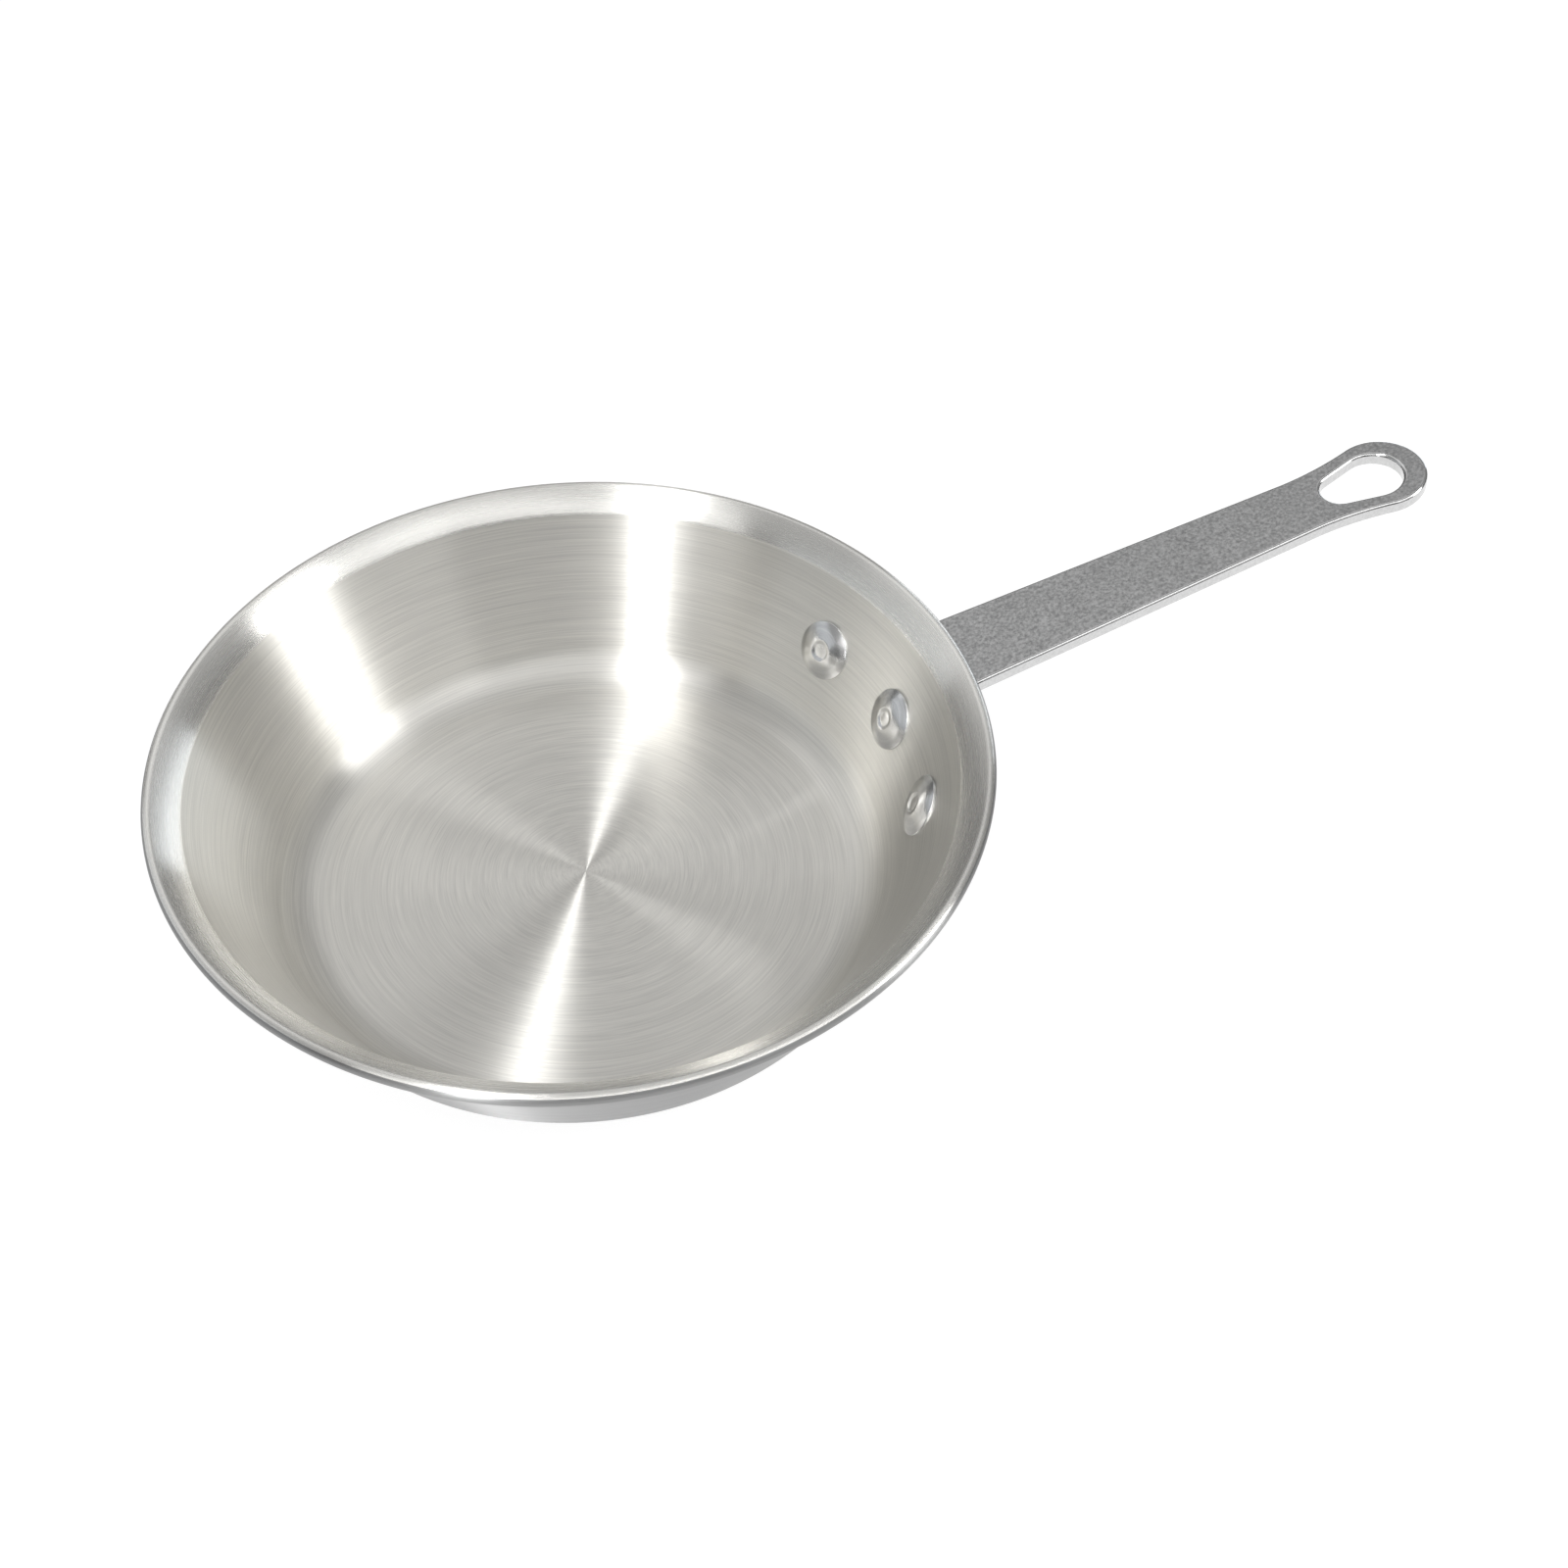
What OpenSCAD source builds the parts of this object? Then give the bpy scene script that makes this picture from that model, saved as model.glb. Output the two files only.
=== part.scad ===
// Omelette pan with a riveted flat-bar handle.
// A spun aluminium bowl has a flared lip. One steel bar, bent down under the lip and spread
// into a curved tee, is held on the bowl's wall by three solid rivets.
// Frame: the origin is the middle of the base's underside, +Z is up, +X runs along the handle.
// Lengths are in millimetres and angles in degrees.

/* [Bowl] */
// Diameter over the rim
rim_diameter = 208; // [200:1:216]
// Height of the rim's top above the surface that the pan stands on
bowl_height = 51; // [49:0.5:56]
// Thickness of the bowl's sheet
sheet = 3.3; // [2.6:0.1:4]
// Slope of the wall, from the horizontal
wall_angle = 64.5; // [62:0.5:70]
// Outside radius where the wall meets the floor
corner_radius = 16; // [12:0.5:24]

/* [Lip] */
// Slope of the lip where it leaves the wall
lip_angle_in = 50; // [46:0.5:54]
// Slope of the lip at its edge
lip_angle_out = 31; // [26:0.5:36]
// Radius of the lip's long, gentle curve
lip_radius = 20; // [16:0.5:24]
// Radius of the tight bend between the wall and the lip
flare_radius = 3; // [2.4:0.1:4]

/* [Handle] */
// Thickness of the handle's bar
bar_thickness = 3.9; // [3.4:0.1:4.6]
// Upward slope of the handle
handle_slope = 10.4; // [8:0.2:14]
// Depth of the bar's top below the rim's top, straight under the rim's edge
handle_drop = 5.1; // [5:0.1:8]
// Width of the bar beside the bowl
root_width = 25.6; // [22:0.1:27]
// Width of the bar at its narrowest place
neck_width = 19.6; // [17.6:0.1:21]
// Radius of the hollow curves between the neck and the round end
neck_radius = 90; // [40:1:120]
// Radius of the handle's round end
end_radius = 12.6; // [12:0.1:14]
// Distance along the bar from the rim's edge to the tip of the handle
handle_reach = 140; // [130:0.5:160]
// Radius of the bar's bend beside the bowl, at the middle of its thickness
bend_radius = 8; // [6:0.5:9]

/* [Hanging hole] */
// Radius of the hole's wide end
hole_wide_radius = 7.9; // [7:0.1:8.4]
// Radius of the hole's narrow end
hole_narrow_radius = 5.5; // [4.4:0.1:6.2]
// Length of the hole
hole_length = 23.2; // [20:0.1:25]
// Metal left between the hole and the tip of the handle
hole_margin = 6.6; // [5.6:0.1:8]

/* [Tee] */
// Thickness of the tee, which is pressed thinner than the bar
tee_thickness = 3.1; // [2.6:0.1:3.4]
// Height of the tee, measured up the wall
tee_height = 22; // [20:0.5:23]
// How far the bar stands off the wall where it comes down to the tee
bar_set_back = 1; // [0.9:0.1:1.3]

/* [Rivets] */
// Height of the rivets above the surface that the pan stands on
rivet_height = 27.4; // [26:0.1:28.4]
// Angle round the bowl between one rivet and the next
rivet_pitch = 21; // [19:0.5:23]
// How much lower on the wall the middle rivet sits than the outer two
middle_drop = 0; // [0:0.1:2.4]
// Diameter of a rivet's shank
shank_diameter = 6.4; // [5:0.1:7]
// Diameter of the domed head inside the bowl
head_diameter = 16.6; // [14:0.1:17.4]
// Height of the domed head
head_height = 2.7; // [2.2:0.1:3.2]
// Height of the head's upright edge
head_edge = 0.7; // [0.4:0.1:1]
// Diameter of the dimple in the head
dimple_diameter = 6; // [5:0.1:7.5]
// Depth of the dimple
dimple_depth = 0.5; // [0.3:0.05:0.7]
// Diameter of the closed end outside the tee
tail_diameter = 11; // [9:0.1:12]
// Height of the closed end
tail_height = 2.6; // [2:0.1:3.2]

/* [Fits] */
// Gap left between pieces that are pressed together
seat_gap = 0.05; // [0.02:0.01:0.1]

/* [Hidden] */
$fn = 96;

aluminium = "#bdbbb6";
plated_steel = "#8d8e8d";
rivet_metal = "#c6c6c3";

// How many steps a tight bend and a wide bend are drawn with
tight_steps = 6;
wide_steps = 14;
// Sides of the balls that a rivet's flat, wide caps are cut from
ball_sides = 288;
// Surplus that takes a cutting shape clear of the metal
clear = 1;

// Directions in an upright half-plane, given as distance from the axis and height:
// square to a sheet that slopes at an angle, on its upper side, and along it, away from the axis
function upper(slope) = [-sin(slope), cos(slope)];
function along(slope) = [cos(slope), sin(slope)];
// Points on a bend of the sheet; a negative radius puts the centre on the sheet's upper side
function bend_points(centre, radius, slope_from, slope_to, steps) =
    [for (i = [0 : steps]) centre + radius * upper(slope_from + (slope_to - slope_from) * i / steps)];
// Points round a circle, from one direction to another
function round_points(centre, radius, turn_from, turn_to, steps) =
    [for (i = [0 : steps]) centre + radius * along(turn_from + (turn_to - turn_from) * i / steps)];
function reversed(points) = [for (i = [len(points) - 1 : -1 : 0]) points[i]];
// Radius of the ball that a round cap of this diameter and height is part of
function cap_ball(diameter, height) = (diameter * diameter / 4 + height * height) / (2 * height);

// The sheet's middle line, found from the edge of the lip down to the base
rim_radius = rim_diameter / 2;
half_sheet = sheet / 2;
edge_centre = [rim_radius - half_sheet, bowl_height - half_sheet];
lip_centre = edge_centre - lip_radius * upper(lip_angle_out);
flare_centre = lip_centre + (lip_radius - flare_radius) * upper(lip_angle_in);
wall_top = flare_centre + flare_radius * upper(wall_angle);
corner_middle = corner_radius - half_sheet;
wall_foot_z = corner_radius - corner_middle * cos(wall_angle);
wall_foot = [wall_top[0] - (wall_top[1] - wall_foot_z) / tan(wall_angle), wall_foot_z];
corner_centre = [wall_foot[0] - corner_middle * sin(wall_angle), corner_radius];

// One face of the sheet, at a lift above its middle line
function sheet_face(lift) = concat(
    [[0, half_sheet + lift]],
    bend_points(corner_centre, lift - corner_middle, 0, wall_angle, wide_steps),
    bend_points(flare_centre, lift + flare_radius, wall_angle, lip_angle_in, tight_steps),
    bend_points(lip_centre, lift + lip_radius, lip_angle_in, lip_angle_out, tight_steps));

// A point of the straight wall at a height, moved off the sheet's middle line by a lift
function wall_point(height, lift) =
    let (foot = wall_foot + lift * upper(wall_angle))
    [foot[0] + (height - foot[1]) / tan(wall_angle), height];

// The rivets' place on the wall's inner face, and the tee's place straight behind it
rivet_seat = wall_point(rivet_height, half_sheet);
tee_lift = -half_sheet - seat_gap;
tee_seat = rivet_seat - (sheet + seat_gap) * upper(wall_angle);
grip = sheet + seat_gap + tee_thickness;

// The bar's middle line: the sloping stem, the tab that comes down the wall, and the bend
half_bar = bar_thickness / 2;
stem_start = [rim_radius, bowl_height - handle_drop] - half_bar * upper(handle_slope);
stem_tip = stem_start + (handle_reach + clear) * along(handle_slope);
// The tab ends just above the middle rivet's closed end
tab_end = tee_seat + (tail_diameter / 2 + clear) * along(wall_angle)
    - (bar_set_back + half_bar) * upper(wall_angle);
bend_angle = wall_angle - handle_slope;
tab_to_corner = (stem_start - tab_end) * upper(handle_slope) / sin(bend_angle);
bar_corner = tab_end + tab_to_corner * along(wall_angle);
bend_start = bar_corner + bend_radius * tan(bend_angle / 2) * along(handle_slope);
bend_centre = bend_start - bend_radius * upper(handle_slope);
// One face of the bar, from the tab's end over the bend and out past the tip
function bar_face(lift) = concat(
    [tab_end + lift * upper(wall_angle)],
    bend_points(bend_centre, bend_radius + lift, wall_angle, handle_slope, wide_steps),
    [stem_tip + lift * upper(handle_slope)]);

// The middle of the round end, and the hollow curve that runs into it from the neck
end_at = handle_reach - end_radius;
hollow_y = neck_width / 2 + neck_radius;
hollow_at = end_at - sqrt(pow(neck_radius + end_radius, 2) - pow(hollow_y, 2));
hollow_angle = atan((end_at - hollow_at) / hollow_y);
// Half of the bar's outline, square to the stem, from behind the tab to the round end
bar_edge = concat(
    [[-tee_height, root_width / 2], [0, root_width / 2]],
    [for (i = [0 : wide_steps]) let (turn = hollow_angle * i / wide_steps)
        [hollow_at + neck_radius * sin(turn), hollow_y - neck_radius * cos(turn)]],
    [[end_at, hollow_y - neck_radius * cos(hollow_angle)]]);

// The middles of the hanging hole's two rounds, and the lean of its straight sides
wide_at = handle_reach - hole_margin - hole_wide_radius;
narrow_at = wide_at + hole_wide_radius - hole_length + hole_narrow_radius;
side_lean = asin((hole_wide_radius - hole_narrow_radius) / (wide_at - narrow_at));

module bowl_section() {
    polygon(concat(
        sheet_face(half_sheet),
        bend_points(edge_centre, half_sheet, lip_angle_out, lip_angle_out - 180, wide_steps),
        reversed(sheet_face(-half_sheet))));
}

// Moves what is drawn at the origin to the wall's inner face at a rivet, with +Z into the bowl
module at_rivet(turn) {
    seat = rivet_seat - (turn == 0 ? middle_drop : 0) * along(wall_angle);
    rotate([0, 0, turn])
        translate([seat[0], 0, seat[1]])
            rotate([0, -wall_angle, 0])
                children();
}

module rivet_holes() {
    for (turn = [-rivet_pitch, 0, rivet_pitch])
        at_rivet(turn)
            translate([0, 0, -grip - clear])
                cylinder(h = grip + 2 * clear, d = shank_diameter + 2 * seat_gap);
}

module pan_body() {
    color(aluminium)
        difference() {
            rotate_extrude()
                bowl_section();
            rivet_holes();
        }
}

module hanging_hole() {
    translate([wide_at, 0])
        circle(r = hole_wide_radius);
    translate([narrow_at, 0])
        circle(r = hole_narrow_radius);
    wide = [wide_at, 0] + hole_wide_radius * upper(side_lean);
    narrow = [narrow_at, 0] + hole_narrow_radius * upper(side_lean);
    polygon([narrow, wide, [wide[0], -wide[1]], [narrow[0], -narrow[1]]]);
}

module bar_outline() {
    difference() {
        union() {
            polygon(concat(bar_edge, reversed([for (p = bar_edge) [p[0], -p[1]]])));
            translate([end_at, 0])
                circle(r = end_radius);
        }
        hanging_hole();
    }
}

// The whole bent bar: its side view, cut to its outline
module bar() {
    intersection() {
        translate([0, root_width, 0])
            rotate([90, 0, 0])
                linear_extrude(height = 2 * root_width)
                    polygon(concat(bar_face(half_bar), reversed(bar_face(-half_bar))));
        translate([stem_start[0], 0, stem_start[1]])
            rotate([0, -handle_slope, 0])
                translate([0, 0, -bowl_height])
                    linear_extrude(height = bowl_height + bar_thickness)
                        bar_outline();
    }
}

// The curved plate behind the wall, cut to its outline as seen along the handle
module tee() {
    half_rise = tee_height / 2 * sin(wall_angle);
    wing_y = tee_seat[0] * sin(rivet_pitch);
    low = tee_seat[1] - tee_height;
    high = tee_seat[1] + tee_height;
    intersection() {
        rotate([0, 0, -90])
            rotate_extrude(angle = 180)
                polygon([
                    wall_point(low, tee_lift), wall_point(high, tee_lift),
                    wall_point(high, tee_lift - tee_thickness), wall_point(low, tee_lift - tee_thickness)]);
        translate([0, 0, tee_seat[1]])
            rotate([90, 0, 90])
                linear_extrude(height = rim_radius)
                    polygon(concat(
                        round_points([wing_y, 0], half_rise, -90, 90, 2 * wide_steps),
                        round_points([-wing_y, 0], half_rise, 90, 270, 2 * wide_steps)));
    }
}

module handle() {
    color(plated_steel)
        difference() {
            union() {
                bar();
                tee();
            }
            rivet_holes();
        }
}

// All that lies behind the wall's inner face, which shapes the underside of a rivet's head
module behind_wall() {
    face = half_sheet + seat_gap;
    rotate_extrude()
        polygon([
            wall_point(wall_foot[1], face), wall_point(wall_top[1], face),
            [rim_radius, wall_top[1]], [rim_radius, wall_foot[1]]]);
}

// The domed head, with a dimple pressed into its top
module rivet_head() {
    dome_ball = cap_ball(head_diameter, head_height - head_edge);
    dimple_ball = cap_ball(dimple_diameter, dimple_depth);
    difference() {
        intersection() {
            translate([0, 0, head_height - dome_ball])
                sphere(r = dome_ball, $fn = ball_sides);
            translate([0, 0, -clear])
                cylinder(h = head_height + 2 * clear, d = head_diameter);
        }
        translate([0, 0, head_height - dimple_depth + dimple_ball])
            sphere(r = dimple_ball, $fn = ball_sides);
    }
}

// The shank, with the end that is closed against the tee
module rivet_shank() {
    tail_ball = cap_ball(tail_diameter, tail_height);
    end_z = -grip - seat_gap;
    translate([0, 0, end_z])
        cylinder(h = grip + head_edge, d = shank_diameter);
    intersection() {
        translate([0, 0, end_z - tail_height + tail_ball])
            sphere(r = tail_ball, $fn = ball_sides);
        translate([0, 0, end_z - tail_height - clear])
            cylinder(h = tail_height + clear, d = tail_diameter);
    }
}

module rivet(turn) {
    color(rivet_metal)
        union() {
            difference() {
                at_rivet(turn)
                    rivet_head();
                behind_wall();
            }
            at_rivet(turn)
                rivet_shank();
        }
}

module rivet_left() {
    rivet(rivet_pitch);
}

module rivet_middle() {
    rivet(0);
}

module rivet_right() {
    rivet(-rivet_pitch);
}

pan_body();
handle();
rivet_left();
rivet_middle();
rivet_right();
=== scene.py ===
"""The looks of a riveted aluminium omelette pan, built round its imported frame.

The pan is a spun bowl with a flared lip, one flat steel bar that is bent under the lip and
spread into a curved tee behind the wall, and three solid rivets through both. Lengths are in
metres and angles in degrees. The origin is the middle of the base's underside, +Z is up and
+X runs along the handle.
"""

from __future__ import annotations

import logging
import math
from collections.abc import Iterable
from dataclasses import dataclass, field
from enum import Enum

import bpy
import numpy as np
from mathutils import Matrix, Vector, geometry


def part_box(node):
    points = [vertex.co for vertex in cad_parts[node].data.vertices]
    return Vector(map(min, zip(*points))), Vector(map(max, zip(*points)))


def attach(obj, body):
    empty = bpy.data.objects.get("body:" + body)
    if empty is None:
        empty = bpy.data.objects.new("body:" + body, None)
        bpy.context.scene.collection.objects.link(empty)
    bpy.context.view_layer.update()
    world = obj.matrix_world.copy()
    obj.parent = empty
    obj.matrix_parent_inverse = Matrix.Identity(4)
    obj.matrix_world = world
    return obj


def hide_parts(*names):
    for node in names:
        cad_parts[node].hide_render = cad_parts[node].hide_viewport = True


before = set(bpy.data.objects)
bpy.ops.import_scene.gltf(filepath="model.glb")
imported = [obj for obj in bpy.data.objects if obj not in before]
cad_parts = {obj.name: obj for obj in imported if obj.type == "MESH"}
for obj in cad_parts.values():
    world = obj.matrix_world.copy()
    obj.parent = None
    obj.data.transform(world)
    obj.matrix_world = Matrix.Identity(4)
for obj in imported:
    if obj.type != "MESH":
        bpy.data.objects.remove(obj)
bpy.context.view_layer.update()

LOG = logging.getLogger("omelette_pan")
ROOT = "root"

# Points that are closer than this count as one.
SAME_PLACE = 1e-7

Pair = tuple[float, float]
Colour = tuple[float, float, float, float]
Point = tuple[float, float, float]
Faces = list[tuple[int, ...]]
Skin = tuple[np.ndarray, np.ndarray, Faces]
Socket = bpy.types.NodeSocket


class Slot(Enum):
    """The record's material slots."""

    SPUN = "spun_aluminium"
    STEEL = "plated_steel"
    RIVET = "rivet_aluminium"


class RivetPlace(Enum):
    """Where a rivet sits: how many pitches round the bowl from the handle's middle line."""

    LEFT = 1
    MIDDLE = 0
    RIGHT = -1

    @property
    def node(self) -> str:
        """Name of the rivet's node in the frame."""
        return f"rivet_{self.name.lower()}"


def upper(slope: float) -> np.ndarray:
    """Direction square to a sheet that slopes at this angle, on its upper side."""
    turn = math.radians(slope)
    return np.array([-math.sin(turn), math.cos(turn)])


def along(slope: float) -> np.ndarray:
    """Direction along a sheet that slopes at this angle, away from the axis."""
    turn = math.radians(slope)
    return np.array([math.cos(turn), math.sin(turn)])


def smooth_step(low: float, high: float, value: np.ndarray | float) -> np.ndarray:
    """A smooth rise from 0 at low to 1 at high.

    Args:
        low: Value at which the rise starts.
        high: Value at which it ends, which may be less than low.
        value: Where to read the rise.

    Returns:
        The height of the rise, from 0 to 1.
    """
    t = np.clip((np.asarray(value, float) - low) / (high - low), 0.0, 1.0)
    return t * t * (3.0 - 2.0 * t)


@dataclass
class Outline:
    """A line of points in a plane, with a normal at each."""

    points: list[np.ndarray] = field(default_factory=list)
    normals: list[np.ndarray] = field(default_factory=list)

    def add(self, point: Iterable[float], normal: Iterable[float]) -> None:
        """Adds one point with its normal."""
        self.points.append(np.array(point, float))
        self.normals.append(np.array(normal, float))

    def run(self, end: Iterable[float], steps: int, normal: Iterable[float] = (0.0, 0.0),
            start: np.ndarray | None = None) -> None:
        """Adds a straight run.

        Args:
            end: Where it ends.
            steps: How many points it gets.
            normal: Its normal, where that is needed.
            start: Where it starts, if that isn't the last point; it isn't added.
        """
        first = self.points[-1] if start is None else start
        for i in range(1, steps + 1):
            self.add(first + (np.array(end) - first) * (i / steps), normal)

    def bend(self, centre: Iterable[float], radius: float | np.ndarray, turns: Pair, steps: int,
             flip: float = 1.0) -> None:
        """Adds a bend whose points lie off its centre along upper(slope).

        Args:
            centre: Centre of the bend.
            radius: Its radius, negative where the centre is on the upper side, or its reach each way.
            turns: Slope at its start and at its end.
            steps: How many points it gets after its first.
            flip: 1 where the normal is the upper one, -1 where it is the lower one.
        """
        for i in range(steps + 1):
            way = upper(turns[0] + (turns[1] - turns[0]) * i / steps)
            self.add(np.array(centre) + radius * way, flip * way)

    def distinct(self) -> Outline:
        """Leaves out the points that repeat the one before.

        Returns:
            The same outline without them.
        """
        kept = Outline()
        for point, normal in zip(self.points, self.normals, strict=True):
            if not kept.points or np.linalg.norm(kept.points[-1] - point) > SAME_PLACE:
                kept.add(point, normal)
        return kept


class NodeGraph:
    """A material's or the world's node tree, with short ways to fill it."""

    # Numbers of the sockets that a mix node uses when it mixes colours.
    MIX_SHARE, MIX_A, MIX_B, MIX_RESULT = 0, 6, 7, 2

    def __init__(self, tree: bpy.types.NodeTree) -> None:
        """Empties the tree and keeps it."""
        self.tree = tree
        tree.nodes.clear()

    def node(self, kind: str, inputs: dict[str | int, object] | None = None, output: str | int = 0,
             **settings: object) -> Socket | None:
        """Adds a node.

        Args:
            kind: The node's type, without the word that all of them start with.
            inputs: What goes into its sockets: numbers, colours or other nodes' outputs.
            output: Which of its outputs is wanted.
            **settings: Values of the node's own properties.

        Returns:
            The wanted output, if the node has any.
        """
        made = self.tree.nodes.new(f"ShaderNode{kind}")
        for name, value in settings.items():
            setattr(made, name, value)
        for name, value in (inputs or {}).items():
            if isinstance(value, Socket):
                self.tree.links.new(value, made.inputs[name])
            else:
                made.inputs[name].default_value = value
        return made.outputs[output] if made.outputs else None

    def maths(self, operation: str, a: object, b: object) -> Socket:
        """Adds a maths node and returns its result."""
        return self.node("Math", {0: a, 1: b}, operation=operation)

    def add(self, a: object, b: object) -> Socket:
        """Adds two values up."""
        return self.maths("ADD", a, b)

    def times(self, a: object, b: object) -> Socket:
        """Multiplies two values."""
        return self.maths("MULTIPLY", a, b)

    def blend(self, a: object, b: object, share: float) -> Socket:
        """Blends two values, with this share of the first."""
        return self.add(self.times(a, share), self.times(b, 1.0 - share))

    def vector(self, operation: str, a: object, b: Point = (0.0, 0.0, 0.0),
               output: str = "Vector") -> Socket:
        """Adds a vector maths node and returns its result."""
        return self.node("VectorMath", {0: a, 1: b}, output, operation=operation)

    def part(self, vector: object, axis: str) -> Socket:
        """A vector's part along one axis."""
        return self.node("SeparateXYZ", {0: vector}, axis)

    def place(self) -> Socket:
        """The place on the object, in metres."""
        return self.node("TexCoord", output="Object")

    def flat(self, place: object) -> Socket:
        """A place's part across the Z axis."""
        return self.vector("MULTIPLY", place, (1.0, 1.0, 0.0))

    def length(self, vector: object) -> Socket:
        """A vector's length."""
        return self.vector("LENGTH", vector, output="Value")

    def ramp(self, value: object, span: Pair, ends: Pair = (0.0, 1.0)) -> Socket:
        """Adds a node that maps the span on the range between the ends, and clamps."""
        return self.node("MapRange", {"Value": value, "From Min": span[0], "From Max": span[1],
                                      "To Min": ends[0], "To Max": ends[1]})

    def noise(self, place: object, scale: float = 1.0, detail: float = 2.0,
              roughness: float = 0.5) -> Socket:
        """Adds a noise texture and returns its height, which averages about 0.5."""
        return self.node("TexNoise", {"Vector": place, "Scale": scale, "Detail": detail,
                                      "Roughness": roughness})

    def mix(self, share: object, a: object, b: object) -> Socket:
        """Mixes two colours and returns the mixture."""
        return self.node("Mix", {self.MIX_SHARE: share, self.MIX_A: a, self.MIX_B: b}, self.MIX_RESULT,
                         data_type="RGBA")

    def metal(self, colour: object, gloss: object, height: object, depth: float,
              grooves: dict[str, object] | None = None) -> None:
        """Ends a material with a metal's shader.

        Args:
            colour: The metal's colour.
            gloss: Its roughness.
            height: The height of its fine relief.
            depth: How deep a height of 1 goes, in metres.
            grooves: More of the shader's inputs, for a metal with grooves that run one way.
        """
        bump = self.node("Bump", {"Strength": 1.0, "Distance": depth, "Height": height})
        self.node("OutputMaterial", {"Surface": self.node("BsdfPrincipled", {
            "Base Color": colour, "Metallic": 1.0, "Roughness": gloss, "Normal": bump,
            **(grooves or {})})})


def tone(value: float, warmth: float = 0.0) -> Colour:
    """A near-grey colour: warmth lowers the blue by that share and lifts the red by a third of it."""
    return (value * (1.0 + warmth / 3.0), value, value * (1.0 - warmth), 1.0)


class Finish:
    """A surface's look, from which a material is made."""

    def build(self, name: str) -> bpy.types.Material:
        """Makes the material.

        Args:
            name: What the material is called.

        Returns:
            The new material.
        """
        material = bpy.data.materials.new(name)
        material.use_nodes = True
        self.fill(NodeGraph(material.node_tree))
        return material

    def fill(self, graph: NodeGraph) -> None:
        """Fills a material's nodes."""
        raise NotImplementedError


@dataclass(frozen=True)
class SpunFinish(Finish):
    """Aluminium that was spun and polished with fine abrasive: fine circles round the axis.

    A rate is how fast a texture changes from circle to circle, per metre, and a run is how fast
    it changes along a circle.
    """

    metal: Colour = tone(0.84, 0.05)
    line_tone: Colour = tone(0.62, 0.045)
    roughness: float = 0.33
    roughness_spread: float = 0.04
    anisotropy: float = 1.0
    groove_turn: float = 0.25
    line_rate: float = 2500.0
    line_run: float = 2.6
    line_detail: float = 3.0
    line_roughness: float = 0.6
    line_span: Pair = (0.3, 0.7)
    line_share: float = 0.7
    band_rate: float = 170.0
    scratch_rate: float = 4200.0
    scratch_run: float = 30.0
    scratch_span: Pair = (0.4, 0.7)
    bump_depth: float = 0.000008
    mark_depth: float = 0.25

    def circle_place(self, graph: NodeGraph, rate: float, run: float) -> Socket:
        """A place for a texture that runs along circles round the axis, with no seam.

        Args:
            graph: The material's nodes.
            rate: The texture's rate.
            run: The texture's run.

        Returns:
            The texture's coordinates.
        """
        place = graph.place()
        flat = graph.flat(place)
        way = graph.vector("NORMALIZE", flat)
        climb = graph.add(graph.length(flat), graph.part(place, "Z"))
        return graph.node("CombineXYZ", {
            "X": graph.times(graph.part(way, "X"), run), "Y": graph.times(graph.part(way, "Y"), run),
            "Z": graph.times(climb, rate)})

    def fill(self, graph: NodeGraph) -> None:
        """Puts the circles into the colour, the gloss and the bump.

        Args:
            graph: The material's nodes.
        """
        lines = graph.noise(self.circle_place(graph, self.line_rate, self.line_run),
                            detail=self.line_detail, roughness=self.line_roughness)
        scratches = graph.noise(self.circle_place(graph, self.scratch_rate, self.scratch_run))
        bands = graph.noise(self.circle_place(graph, self.band_rate, self.line_run))
        marks = graph.ramp(scratches, self.scratch_span)
        share = graph.blend(graph.ramp(lines, self.line_span), bands, self.line_share)
        gloss = graph.add(self.roughness - self.roughness_spread / 2.0,
                          graph.times(share, self.roughness_spread))
        circles = graph.node("Tangent", direction_type="RADIAL", axis="Z")
        graph.metal(graph.mix(share, self.line_tone, self.metal), gloss,
                    graph.add(lines, graph.times(marks, self.mark_depth)), self.bump_depth,
                    {"Anisotropic": self.anisotropy, "Anisotropic Rotation": self.groove_turn,
                     "Tangent": circles})


@dataclass(frozen=True)
class PlatedFinish(Finish):
    """Plated steel bar with matt, fine-grained faces and brighter edges."""

    metal: Colour = tone(0.60, -0.002)
    grain_tone: Colour = tone(0.28, -0.004)
    roughness: float = 0.40
    roughness_spread: float = 0.2
    grain_rate: float = 1100.0
    grain_detail: float = 3.0
    grain_roughness: float = 0.7
    grain_span: Pair = (0.36, 0.64)
    gloss_span: Pair = (0.3, 0.7)
    grain_share: float = 0.75
    blotch_rate: float = 60.0
    bump_depth: float = 0.00005

    def fill(self, graph: NodeGraph) -> None:
        """Puts the grain into the colour, the gloss and the bump.

        Args:
            graph: The material's nodes.
        """
        place = graph.place()
        grain = graph.noise(place, self.grain_rate, self.grain_detail, self.grain_roughness)
        blotch = graph.noise(place, self.blotch_rate, self.grain_detail)
        share = graph.blend(graph.ramp(grain, self.grain_span), blotch, self.grain_share)
        gloss = graph.ramp(grain, self.gloss_span, (self.roughness * (1.0 + self.roughness_spread),
                                                    self.roughness * (1.0 - self.roughness_spread)))
        graph.metal(graph.mix(share, self.grain_tone, self.metal), gloss, grain, self.bump_depth)


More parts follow.
